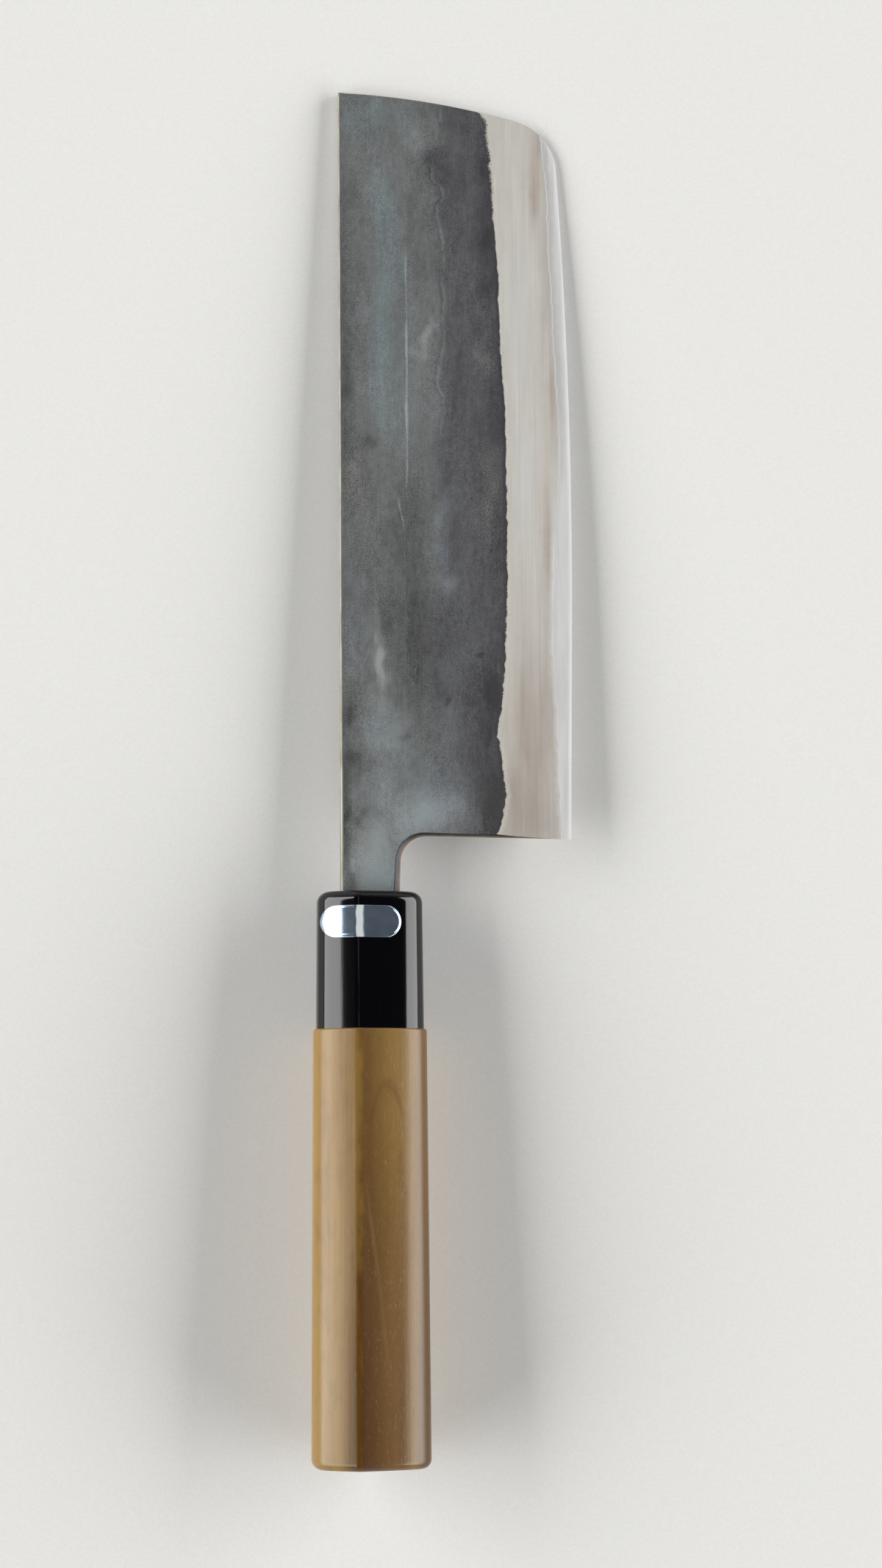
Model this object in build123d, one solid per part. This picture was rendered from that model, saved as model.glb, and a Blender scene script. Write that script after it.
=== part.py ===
from build123d import *
import os
from math import cos, radians, sin, sqrt

# A nakiri, the Japanese vegetable knife, with a three-layer blade and a driven-on wooden handle.
# The frame: +X runs from the spine to the cutting edge, +Y from the butt to the tip, and +Z out of
# the blade's right face, so the knife lies on its left side. Everything is drawn about the point
# where the handle's axis meets the ferrule's mouth, on the middle plane of the blade, and is moved
# to the shared origin at the very end. All lengths are in millimetres.

# Blade outline
edge_length = 164.7
blade_height = 50.75
heel_narrowing = 0.6
spine_offset = 6.3
straight_edge_length = 49.0
tip_corner_rise = 3.2
tip_corner_drop = 8.25
tip_curve_radius = 168.0
tip_corner_radius = 11.8

# Neck and heel
neck_length = 11.5
neck_width = 12.8
neck_flare = 0.5
heel_rise = 0.7
choil_radius = 5.6
choil_round_radius = 1.9

# Blade thickness: each flat is one plane, tapered from spine to bevel and from heel to tip
spine_thickness = 3.6
spine_thickness_at_tip = 2.2
thickness_over_bevel = 2.6
spine_easing = 0.3

# Ground bevel, and the narrow sharpened edge below it
bevel_width = 14.3
bevel_end_thickness = 0.3
bevel_station_shares = (0.25, 0.5, 0.75, 1.0)
sharpened_width = 0.8
edge_thickness = 0.06

# Where along the blade the core is measured, from heel to tip, and how much of the bevel it shows
core_station_shares = (0.0, 0.08, 0.17, 0.28, 0.38, 0.50, 0.60, 0.72, 0.86, 1.0)
core_reveal_shares = (0.15, 0.20, 0.25, 0.32, 0.29, 0.18, 0.20, 0.25, 0.19, 0.19)
core_tang_share = 0.35

# Tang, forged from the same three layers, with shoulders that seat on the tenon
tang_length = 88.0
tang_root_width = 9.0
tang_root_thickness = 3.2
tang_end_width = 4.5
tang_end_thickness = 2.0
bedding_thickness = 0.6
bedding_end_depth = 3.0
bedding_recess = 0.4

# Turns, in degrees, at which the quarter circle of a rounded end is drawn
round_end_turns = (0, 15, 30, 45, 60, 75, 90)

# Handle section: a chestnut shape, oval below and two swelling facets that meet in a ridge above
ridge_offset = 2.9
ridge_easing = 1.1
oval_swell_share = 0.56
facet_swell_share = 0.56
facet_reach_share = 0.70
facet_fall_share = 0.20

# Horn ferrule
ferrule_length = 29.4
ferrule_front_width = 22.7
ferrule_rear_width = 23.2
ferrule_front_ridge_height = 9.4
ferrule_rear_ridge_height = 9.8
ferrule_front_depth = 8.1
ferrule_rear_depth = 8.5
ferrule_mouth_round = 2.4
mouth_wall = 5.0
mouth_clearance = 0.3

# Wooden grip and the tenon turned on its front end
grip_length = 92.9
shoulder_step = 0.6
butt_width = 25.5
butt_ridge_height = 11.1
butt_depth = 9.7
shoulder_easing = 0.5
butt_round = 2.0
tenon_diameter = 13.5
glue_gap = 0.1

# Foil label wrapped over the ridge of the ferrule
label_length = 17.2
label_width = 6.8
label_from_mouth = 3.3
label_offset = 2.2
foil_thickness = 0.12

# Room that cutting tools run past the metal
overrun = 6.0

spine_x = -spine_offset
neck_x = spine_x + neck_width
heel_y = neck_length
tip_y = heel_y + edge_length
shoulder_y = -mouth_wall
tang_end_y = -tang_length
joint_y = -ferrule_length
butt_y = joint_y - grip_length
heel = Vector(spine_x + blade_height - heel_narrowing, heel_y)
belly = Vector(spine_x + blade_height, heel_y + straight_edge_length)
tip_corner = Vector(belly.X - tip_corner_rise, tip_y - tip_corner_drop)
neck_corner = Vector(neck_x + neck_flare, heel_y + heel_rise)

cross_taper = (spine_thickness - thickness_over_bevel) / 2 / (blade_height - bevel_width)
length_taper = (spine_thickness - spine_thickness_at_tip) / 2 / edge_length
tang_taper = (tang_root_thickness - tang_end_thickness) / 2 / (tang_length - mouth_wall)


def across(y):
    """The plane square to the knife at y, drawn on with X to the edge and Y to the right face."""
    return Plane(origin=(0, y, 0), x_dir=(1, 0, 0), z_dir=(0, -1, 0))


def face_height(x, y):
    """Height of the blade's flat above its middle plane."""
    return spine_thickness / 2 - cross_taper * (x - spine_x) - length_taper * (y - heel_y)


def edge_curve_x(y):
    """Where the cutting edge lies at y: straight from the heel, then a long arc to the tip."""
    along = (belly - heel).normalized()
    if y <= belly.Y:
        return heel.X + (y - heel.Y) * along.X / along.Y
    inward = Vector(-along.Y, along.X)
    chord = tip_corner - belly
    radius = chord.length**2 / (2 * chord.dot(inward))
    centre = belly + inward * radius
    return centre.X + sqrt(radius**2 - (y - centre.Y) ** 2)


def blade_outline():
    """Outline of blade and neck, down to the shoulders that seat on the tenon."""
    tip = Vector(spine_x, tip_y)
    neck_foot = Vector(neck_x, shoulder_y)
    spine_foot = Vector(spine_x, shoulder_y)
    outline = make_face(
        [
            Line(spine_foot, tip),
            RadiusArc(tip, tip_corner, tip_curve_radius),
            TangentArc(belly, tip_corner, tangent=belly - heel),
            Line(belly, heel),
            Line(heel, neck_corner),
            Line(neck_corner, neck_foot),
            Line(neck_foot, spine_foot),
        ]
    )
    outline = fillet(outline.vertices().sort_by_distance(tip_corner)[0], tip_corner_radius)
    return fillet(outline.vertices().sort_by_distance(neck_corner)[0], choil_radius)


def tapered_slab(slab, height_at_y, run_taper, at_y, side_taper):
    """The slab, faced on both sides by planes that taper across and along the knife."""
    for side in (1, -1):
        face = Plane(origin=(spine_x, at_y, side * height_at_y), z_dir=(side_taper, run_taper, side))
        slab = split(slab, bisect_by=face, keep=Keep.BOTTOM)
    return slab


def grinding_tool(width, inner_height, outer_height):
    """What a wheel takes off the right side of a strip along the cutting edge."""
    stations = [heel_y - overrun, heel_y, belly.Y]
    stations += [belly.Y + (tip_y - belly.Y) * share for share in bevel_station_shares]
    sections = []
    for y in (*stations, tip_y + overrun):
        edge = Vector(edge_curve_x(y), outer_height)
        inner = Vector(edge.X - width, inner_height(y))
        slope = (edge - inner) * (overrun / width)
        above = Vector(0, overrun)
        corners = [inner - slope, edge + slope, edge + slope + above, inner + above]
        sections.append(across(y) * make_face(Polyline(*corners, close=True)))
    return loft(sections, ruled=True)


def bevel_inner_height(y):
    return face_height(edge_curve_x(y) - bevel_width, y)


def sharpened_inner_height(y):
    rise = bevel_inner_height(y) - bevel_end_thickness / 2
    return bevel_end_thickness / 2 + rise * sharpened_width / bevel_width


def choil_cutter():
    """A half-round cutter run along the neck, round the choil and out along the heel."""
    neck_slope = (neck_corner - Vector(neck_x, shoulder_y)).normalized()
    start = Vector(neck_x, shoulder_y) - neck_slope * overrun
    heel_slope = (heel - neck_corner).normalized()
    end = heel + heel_slope * overrun
    path = FilletPolyline(start, neck_corner, end, radius=choil_radius)
    reach = choil_round_radius + overrun / 2
    bar = Location((reach / 2 - choil_round_radius, 0)) * Rectangle(reach, 2 * overrun)
    bar -= Location((-choil_round_radius, 0)) * Circle(choil_round_radius)
    square_to_neck = Plane(origin=start, x_dir=neck_slope.cross(Vector(0, 0, 1)), z_dir=neck_slope)
    return sweep(square_to_neck * bar, path=path)


def forged_blade():
    """Blade, neck and tang as one body, before it is parted into its three layers."""
    blank = extrude(blade_outline(), amount=spine_thickness, both=True)
    heel_plane = Plane(origin=(0, heel_y, 0), z_dir=(0, 1, 0))
    half = spine_thickness / 2
    blade = split(blank, bisect_by=heel_plane, keep=Keep.TOP)
    blade = tapered_slab(blade, half, length_taper, heel_y, cross_taper)
    neck = split(blank, bisect_by=heel_plane, keep=Keep.BOTTOM)
    neck = tapered_slab(neck, half, 0, heel_y, cross_taper)
    tang_corners = [
        (-tang_root_width / 2, shoulder_y),
        (tang_root_width / 2, shoulder_y),
        (tang_end_width / 2, tang_end_y),
        (-tang_end_width / 2, tang_end_y),
    ]
    tang = extrude(make_face(Polyline(*tang_corners, close=True)), amount=spine_thickness, both=True)
    tang = tapered_slab(tang, tang_root_thickness / 2, -tang_taper, shoulder_y, 0)
    body = blade + neck + tang
    bevel = grinding_tool(bevel_width, bevel_inner_height, bevel_end_thickness / 2)
    sharpening = grinding_tool(sharpened_width, sharpened_inner_height, edge_thickness / 2)
    for tool in (bevel, sharpening):
        body = body - tool - mirror(tool, about=Plane.XY)
    body -= choil_cutter()
    long_edges = body.edges().filter_by(lambda e: e.length > neck_length)
    spine_edges = [e for e in long_edges if abs(e.center().X - spine_x) < spine_easing / 2]
    return fillet(spine_edges, spine_easing)


def core_slab():
    """The hard core sheet: its thickness follows how much of the bevel it shows at each station."""
    upper = [Vector(tang_end_y - overrun, tang_end_thickness / 2 * core_tang_share)]
    for station_share, reveal_share in zip(core_station_shares, core_reveal_shares):
        y = heel_y + edge_length * station_share
        rise = bevel_inner_height(y) - bevel_end_thickness / 2
        upper.append(Vector(y, bevel_end_thickness / 2 + rise * reveal_share))
    upper.append(Vector(tip_y + overrun, upper[-1].Y))
    lower = [Vector(p.X, -p.Y) for p in upper]
    profile = make_face(
        [
            Spline(*upper),
            Line(upper[-1], lower[-1]),
            Spline(*lower),
            Line(lower[0], upper[0]),
        ]
    )
    start = Plane(origin=(spine_x - overrun, 0, 0), x_dir=(0, 1, 0), z_dir=(1, 0, 0))
    return extrude(start * profile, amount=blade_height + 2 * overrun)


def handle_section(y, width, ridge_height, depth):
    """Chestnut section of the handle: an oval underside, and two facets that meet in the ridge."""
    half = width / 2
    half_swell = half * oval_swell_share
    depth_swell = depth * oval_swell_share
    ridge = (-ridge_offset, ridge_height)
    spine_reach = -ridge_offset - (half - ridge_offset) * facet_reach_share
    edge_reach = -ridge_offset + (half + ridge_offset) * facet_reach_share
    facet_swell = ridge_height * facet_swell_share
    facet_fall = ridge_height * (1 - facet_fall_share)
    section = make_face(
        [
            Bezier((-half, 0), (-half, facet_swell), (spine_reach, facet_fall), ridge),
            Bezier(ridge, (edge_reach, facet_fall), (half, facet_swell), (half, 0)),
            Bezier((half, 0), (half, -depth_swell), (half_swell, -depth), (0, -depth)),
            Bezier((0, -depth), (-half_swell, -depth), (-half, -depth_swell), (-half, 0)),
        ]
    )
    section = fillet(section.vertices().sort_by_distance(ridge)[0], ridge_easing)
    return across(y) * section


def tapered_section(y, inset, front, rear):
    """Handle section at y between two stations, each a place with its width, ridge height and depth."""
    share = (front[0] - y) / (front[0] - rear[0])
    width, ridge_height, depth = (a + (b - a) * share for a, b in zip(front[1:], rear[1:]))
    return handle_section(y, width - 2 * inset, ridge_height - inset, depth - inset)


def ferrule_section(y, inset):
    """Outline of the ferrule at y, shrunk all round by an inset; a negative inset grows it."""
    front = (0, ferrule_front_width, ferrule_front_ridge_height, ferrule_front_depth)
    rear = (joint_y, ferrule_rear_width, ferrule_rear_ridge_height, ferrule_rear_depth)
    return tapered_section(y, inset, front, rear)


def grip_section(y, inset):
    """Outline of the grip at y, which starts proud of the ferrule and swells to the butt."""
    step = shoulder_step
    front_width = ferrule_rear_width + 2 * step
    front = (joint_y, front_width, ferrule_rear_ridge_height + step, ferrule_rear_depth + step)
    return tapered_section(y, inset, front, (butt_y, butt_width, butt_ridge_height, butt_depth))


def rounded_end(section, end_y, radius, side):
    """A rounded end in narrow bands round a quarter circle; side is 1 if it faces the tip, else -1."""
    sections = []
    for turn in round_end_turns:
        y = end_y - side * radius * (1 - sin(radians(turn)))
        sections.append(section(y, radius * (1 - cos(radians(turn)))))
    return loft(sections, ruled=True)


def ferrule_barrel(growth):
    """The ferrule behind its rounded mouth, grown by a skin's thickness."""
    front = ferrule_section(-ferrule_mouth_round, -growth)
    return loft([front, ferrule_section(joint_y, -growth)], ruled=True)


def rod(diameter, from_y, to_y):
    """A round bar on the handle's axis."""
    return extrude(across(from_y) * Circle(diameter / 2), amount=from_y - to_y)


def tang_hole():
    """The hole burned through tenon and grip: the tang's taper, plus the bedding all round."""
    mouth = across(shoulder_y) * Rectangle(
        tang_root_width + 2 * bedding_thickness, tang_root_thickness + 2 * bedding_thickness
    )
    end = across(tang_end_y - bedding_end_depth) * Rectangle(
        tang_end_width + 2 * bedding_thickness, tang_end_thickness + 2 * bedding_thickness
    )
    return loft([mouth, end], ruled=True)


def mouth_slot(from_y):
    """The slot through the ferrule's front wall, which clears the neck."""
    slot = Rectangle(neck_width + 2 * mouth_clearance, spine_thickness + 2 * mouth_clearance)
    slot = Location((spine_x + neck_width / 2, 0)) * slot
    return extrude(across(from_y) * slot, amount=from_y - shoulder_y)


def horn_ferrule():
    """Buffalo-horn ferrule: rounded mouth, a slot for the neck and a drilled bore for the tenon."""
    body = ferrule_barrel(0) + rounded_end(ferrule_section, 0, ferrule_mouth_round, 1)
    return body - rod(tenon_diameter + 2 * glue_gap, shoulder_y, joint_y) - mouth_slot(0)


def wooden_grip():
    """Magnolia grip, its front edge eased by a small chamfer, with its tenon and the burned hole."""
    shoulder_front = grip_section(joint_y, shoulder_easing)
    shoulder = grip_section(joint_y - shoulder_easing, 0)
    body = loft([shoulder_front, shoulder, grip_section(butt_y + butt_round, 0)], ruled=True)
    body += rounded_end(grip_section, butt_y, butt_round, -1)
    return body + rod(tenon_diameter, shoulder_y, joint_y) - tang_hole()


def foil_label():
    """Blank foil label: a thin skin over the ferrule, cut to a strip with round ends."""
    skin = ferrule_barrel(foil_thickness) - ferrule_barrel(0)
    centre = Location((-label_offset, -label_from_mouth - label_width / 2))
    strip = centre * SlotOverall(label_length, label_width)
    return skin & extrude(strip, amount=ferrule_rear_ridge_height + overrun)


def to_shared_origin(piece):
    """Moves a piece so that the origin is the middle of the knife's underside."""
    return Location((-(belly.X - butt_width / 2) / 2, -(butt_y + tip_y) / 2, butt_depth)) * piece


def build():
    blade = forged_blade()
    slab = core_slab()
    claddings = (blade - slab).solids().sort_by(Axis.Z)
    filling = mouth_slot(-bedding_recess) + tang_hole()
    return {
        "core_steel": blade & slab,
        "cladding_left": claddings[0],
        "cladding_right": claddings[-1],
        "horn_ferrule": horn_ferrule(),
        "wooden_grip": wooden_grip(),
        "tang_bedding": filling - blade,
        "foil_label": foil_label(),
    }


os.makedirs("parts", exist_ok=True)
for name, piece in build().items():
    export_step(to_shared_origin(piece), f"parts/{name}.step")
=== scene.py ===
import math

import bmesh
import bpy
import numpy as np
from mathutils import Euler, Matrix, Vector


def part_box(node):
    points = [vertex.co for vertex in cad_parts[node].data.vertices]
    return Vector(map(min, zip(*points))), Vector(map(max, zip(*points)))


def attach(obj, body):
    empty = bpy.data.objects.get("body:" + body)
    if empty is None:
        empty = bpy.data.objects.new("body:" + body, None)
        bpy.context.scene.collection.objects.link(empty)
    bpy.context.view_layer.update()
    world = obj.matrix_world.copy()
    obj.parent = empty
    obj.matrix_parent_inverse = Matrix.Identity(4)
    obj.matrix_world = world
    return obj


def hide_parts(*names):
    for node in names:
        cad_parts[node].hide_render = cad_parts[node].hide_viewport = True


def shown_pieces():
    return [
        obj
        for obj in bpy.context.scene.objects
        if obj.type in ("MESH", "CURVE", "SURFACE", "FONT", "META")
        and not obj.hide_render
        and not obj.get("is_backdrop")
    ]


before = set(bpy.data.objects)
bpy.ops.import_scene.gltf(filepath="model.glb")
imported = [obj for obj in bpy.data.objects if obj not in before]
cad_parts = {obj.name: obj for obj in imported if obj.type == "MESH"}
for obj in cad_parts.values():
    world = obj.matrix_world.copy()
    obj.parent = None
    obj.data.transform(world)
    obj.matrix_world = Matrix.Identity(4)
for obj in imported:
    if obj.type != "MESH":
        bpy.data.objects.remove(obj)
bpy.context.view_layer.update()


# Core: the hard steel sheet in the middle of the blade. It shows as a bright strip along the edge,
# as a thin line down the spine, and runs on into the tang. It is forge-welded between two iron
# claddings, so the blade's outline and its grinding are worked out here, for all three layers.
mm = 0.001
ferrule_low, ferrule_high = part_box("horn_ferrule")
core_low, core_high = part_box("core_steel")
mouth = np.array([(ferrule_low.x + ferrule_high.x) / 2, ferrule_high.y, (core_low.z + core_high.z) / 2])

edge_length = 164.7
blade_height = 50.744
heel_narrowing = 0.6
spine_x = -6.3
straight_edge_length = 49.0
tip_corner_rise = 3.2
tip_corner_drop = 8.25
tip_curve_radius = 168.0
tip_corner_radius = 11.8
heel_y = 11.5
neck_width = 12.8
neck_flare = 0.5
heel_rise = 0.7
choil_radius = 5.6
choil_round_radius = 1.9
shoulder_y = -5.0
tang_end_y = -88.0
tang_half_widths = (2.25, 4.5)
tang_half_thicknesses = (1.0, 1.6)
tang_core_half = 0.35
shoulder_gap = 0.05

spine_half = 1.8
cross_taper = 0.01372
length_taper = 0.00425
bevel_width = 14.3
bevel_end_half = 0.15
sharpened_width = 0.8
sharpened_drop = 0.12
tip_easing = 0.2
corner_fade = 14
corner_easing_share = 0.2
grinding_wave = 0.006
grinding_wave_sizes = (2.6, 30)
grinding_wave_fade = 3
hollow_kinds = ((0.022, (9, 14)), (0.009, (3.2, 5.5)))
hollow_fade = 2
scale_sink = 0.02
draw_down_reach = 3.5
heel_and_tip_power = 8
lattice = 64
lattice_shift = 20
first_share = 0.7
share_tries = 12
least_gap_share = 0.02
merge_distance = 0.0003

tip_y = heel_y + edge_length
tip = np.array([spine_x, tip_y])
heel = np.array([spine_x + blade_height - heel_narrowing, heel_y])
belly = np.array([spine_x + blade_height, heel_y + straight_edge_length])
tip_corner = np.array([belly[0] - tip_corner_rise, tip_y - tip_corner_drop])
neck_corner = np.array([spine_x + neck_width + neck_flare, heel_y + heel_rise])
neck_foot = np.array([spine_x + neck_width, shoulder_y])


def unit(vector):
    return vector / np.linalg.norm(vector)


def turned(vector):
    """The vector turned a quarter turn to the left."""
    return np.array([-vector[1], vector[0]])


def angle_of(vector):
    return math.atan2(vector[1], vector[0])


def arc(centre, radius, start, end, count=60):
    """Points on a circle: its centre, plus the radius turned evenly from the start to the end angle."""
    turn = np.linspace(start, end, count)
    return centre + radius * np.stack([np.cos(turn), np.sin(turn)], axis=-1)


def circles_meet(centre_a, radius_a, centre_b, radius_b):
    """Where two circles cross, on the left of the line from the first centre to the second."""
    gap = centre_b - centre_a
    distance = np.linalg.norm(gap)
    foot = (radius_a**2 - radius_b**2 + distance**2) / (2 * distance)
    rise = math.sqrt(radius_a**2 - foot**2)
    return centre_a + unit(gap) * foot + turned(unit(gap)) * rise


def walked(line, shares):
    """Points at the given shares of a line's length, and the directions that point out of the blade."""
    steps = np.linalg.norm(np.diff(line, axis=0), axis=1)
    length = np.concatenate([[0], np.cumsum(steps)])
    place = shares * length[-1]
    points = np.stack([np.interp(place, length, line[:, k]) for k in (0, 1)], axis=-1)
    ahead = np.gradient(points, axis=0)
    ahead /= np.linalg.norm(ahead, axis=1, keepdims=True)
    return points, np.stack([ahead[:, 1], -ahead[:, 0]], axis=-1)


edge_line = unit(belly - heel)
chord = tip_corner - belly
belly_radius = chord @ chord / (2 * chord @ turned(edge_line))
belly_centre = belly + turned(edge_line) * belly_radius
chord = tip_corner - tip
tip_sag = math.sqrt(tip_curve_radius**2 - chord @ chord / 4)
tip_centre = (tip + tip_corner) / 2 - turned(unit(chord)) * tip_sag
corner_centre = circles_meet(
    belly_centre, belly_radius - tip_corner_radius, tip_centre, tip_curve_radius - tip_corner_radius
)
corner_start = angle_of(corner_centre - belly_centre)
corner_end = angle_of(corner_centre - tip_centre)
cutting_edge = np.concatenate([
    heel[None],
    arc(belly_centre, belly_radius, angle_of(belly - belly_centre), corner_start),
    arc(corner_centre, tip_corner_radius, corner_start, corner_end)[1:],
])

neck_line = unit(neck_corner - neck_foot)
heel_line = unit(heel - neck_corner)
choil_reach = choil_radius / math.tan(math.acos(-neck_line @ heel_line) / 2)
choil_start = neck_corner - neck_line * choil_reach
choil_end = neck_corner + heel_line * choil_reach
choil_centre = choil_start - turned(neck_line) * choil_radius
neck_side = np.concatenate([
    neck_foot[None],
    arc(choil_centre, choil_radius, angle_of(choil_start - choil_centre), angle_of(choil_end - choil_centre)),
])
heel_row_y = neck_corner[1] - heel_line[1] / heel_line[0] * (neck_corner[0] - spine_x)


def edge_x(y):
    """Where the cutting edge lies at y, before its corner is rounded: a line, then the belly's arc."""
    straight = heel[0] + (y - heel[1]) * edge_line[0] / edge_line[1]
    curved = belly_centre[0] + np.sqrt(belly_radius**2 - (y - belly_centre[1]) ** 2)
    return np.where(y < belly[1], straight, curved)


def waver(place, size, lengths, seed):
    """A wandering line: sine waves of the given lengths, each with its own seeded phase, added up."""
    phases = np.random.default_rng(seed).uniform(0, 2 * math.pi, len(lengths))
    waves = [np.sin(place * 2 * math.pi / length + phase) for length, phase in zip(lengths, phases)]
    return size * sum(waves) / math.sqrt(len(lengths))


def smooth_table(stations, values, blur):
    """Straight runs between given stations, averaged over a window of the blur's length."""
    steps = 20
    fine = np.arange(stations[0], stations[-1] + blur / steps, blur / steps)
    runs = np.interp(fine, stations, values)
    window = np.hanning(steps + 3)[1:-1]
    padded = np.pad(runs, steps // 2, mode="edge")
    return fine, np.convolve(padded, window / window.sum(), mode="valid")


# Widths of the ground bevel and of the bare core strip, at stations along the edge in shares from
# the heel to the tip, on each side of the blade
bevel_stations = (-0.05, 0.0, 0.018, 0.055, 0.112, 0.14, 0.167, 0.192, 0.24, 0.33, 0.475, 0.575, 0.64,
                  0.71, 0.75, 0.83, 0.87, 0.915, 0.943, 0.965, 0.975, 0.985, 1.0)
bevel_widths = {
    "right": (17.6, 16.7, 15.3, 14.3, 15.4, 16.3, 15.6, 15.0, 14.6, 14.2, 14.2, 14.1, 14.6,
              14.6, 14.3, 14.7, 14.6, 14.6, 14.8, 14.6, 15.6, 18.6, 27.0),
    "left": (16.4, 15.8, 15.0, 14.5, 14.2, 14.9, 15.3, 14.4, 14.0, 14.6, 14.1, 14.7, 14.2,
             14.4, 14.9, 14.3, 14.7, 14.4, 14.9, 15.2, 16.2, 19.0, 27.0),
}
core_stations = (-0.05, 0.0, 0.07, 0.155, 0.21, 0.25, 0.33, 0.39, 0.45, 0.5, 0.55, 0.61, 0.68, 0.72,
                 0.79, 0.86, 0.89, 0.92, 0.96, 1.0)
core_widths = {
    "right": (2.0, 2.1, 2.7, 3.3, 3.8, 4.5, 4.4, 4.1, 3.2, 2.5, 2.5, 2.8, 3.1, 2.9,
              3.1, 2.6, 2.7, 3.0, 2.9, 2.9),
    "left": (2.4, 2.5, 2.9, 2.6, 3.1, 3.7, 4.0, 3.6, 3.5, 3.0, 2.6, 2.4, 2.9, 3.3,
             2.9, 2.7, 3.0, 2.8, 2.9, 2.9),
}
lines = {}
for side, seed in (("right", 11), ("left", 23)):
    for name, stations, widths, blur, wave in (
        ("bevel", bevel_stations, bevel_widths, 3.5, 0.09),
        ("core", core_stations, core_widths, 4.0, 0.11),
    ):
        places = heel_y + edge_length * np.array(stations)
        fine, width = smooth_table(places, widths[side], blur)
        ripple = waver(fine, wave, (2.3, 3.7, 5.9, 9.5), seed)
        lines[side, name] = (fine, edge_x(fine) - width + ripple)


def line_x(side, name, y):
    """Where the bevel's line or the core's line lies at y on one side of the blade."""
    fine, place = lines[side, name]
    return np.interp(y, fine, place)


def lump_field(x, y, sizes, seed):
    """Smooth lumps from -1 to 1: seeded values on a lattice of the given sizes, joined by cosine steps."""
    table = np.random.default_rng(seed).uniform(-1, 1, (lattice, lattice))
    u, v = x / sizes[0] + lattice_shift, y / sizes[1] + lattice_shift
    i, j = (np.floor(q).astype(int) % (lattice - 1) for q in (u, v))
    s, t = ((1 - np.cos(math.pi * (q % 1))) / 2 for q in (u, v))
    near = table[i, j] * (1 - s) + table[i + 1, j] * s
    far = table[i, j + 1] * (1 - s) + table[i + 1, j + 1] * s
    return near * (1 - t) + far * t


def bevel_height(side, x, y):
    """Half thickness on the bevel: a slope from the edge to the flat, with the faint waves of hand
    grinding."""
    inner = edge_x(y) - bevel_width
    inner_half = spine_half - cross_taper * (inner - spine_x) - length_taper * (y - heel_y)
    slope = (inner_half - bevel_end_half) / bevel_width
    waves = grinding_wave * lump_field(x, y, grinding_wave_sizes, 5 if side == "right" else 6)
    from_edge = edge_x(y) - x
    return bevel_end_half + from_edge * slope + waves * np.clip(from_edge / grinding_wave_fade, 0, 1)


def plane_height(x, y):
    """Half thickness of the flat: the spine's, less one taper times the way from the spine and another
    times the way from the heel."""
    return spine_half - cross_taper * (x - spine_x) - length_taper * np.maximum(y - heel_y, 0)


def face_height(side, x, y):
    """Half thickness under the forged face: a plane tapered both ways, with soft hammer hollows, drawn
    down near the bevel so that it meets the ground slope on the bevel's own wandering line."""
    seed = 31 if side == "right" else 47
    hollows = sum(
        depth * lump_field(x, y, sizes, seed + k) for k, (depth, sizes) in enumerate(hollow_kinds)
    )
    flat = plane_height(x, y) - scale_sink + hollows * np.clip((x - spine_x) / hollow_fade, 0, 1)
    meet = line_x(side, "bevel", y)
    fade = np.exp(-((np.maximum(meet - x, 0) / draw_down_reach) ** 2))
    drawn_down = flat - hollows + bevel_height(side, meet, y) - plane_height(meet, y) + scale_sink
    return np.where(x <= meet, flat * (1 - fade) + drawn_down * fade, bevel_height(side, x, y))


# Rows run across the knife: two for the tang, then up the neck, and from the heel's line to the tip.
# Columns run along it: to the choil, the bevel's line, the core's line, the sharpening and the edge.
neck_rows = 40
blade_rows = 300
column_counts = (26, 26, 20, 8, 3)
column_ends = np.cumsum((0, *column_counts))
choil_column, _, core_column, _, edge_column = column_ends[1:]
heel_row = 2 + neck_rows
last_row = heel_row + blade_rows
choil_share = (choil_end[0] - spine_x) / (heel[0] - spine_x)
spine_stations = (shoulder_y, heel_y, 90, tip_y)
spine_radii = (0.74, 0.68, 0.5, 0.34)
neck_wear_shares = (0, 0.75, 1)
neck_wear = (1.75, 1.5, 1.0)
neck_steps = np.linspace(0, 1, neck_rows + 1)
blade_steps = np.linspace(0, 1, blade_rows + 1)
ring_turns = np.radians((0, 15, 30, 50, 70, 90, 90))
ring_shares = (0, 0.08, 0.2, 0.36, 0.56, 0.78, 1)
edge_points, edge_outward = walked(cutting_edge, blade_steps)
neck_points, neck_outward = walked(neck_side, neck_steps)


def spine_easing(y):
    """Radius of the eased corners of the spine, which are worn rounder towards the handle."""
    return np.interp(y, spine_stations, spine_radii)


def round_inset(half):
    """How far a half-round wall stands back at a height above the blade's middle plane."""
    return choil_round_radius - np.sqrt(choil_round_radius**2 - np.minimum(half, choil_round_radius) ** 2)


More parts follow.
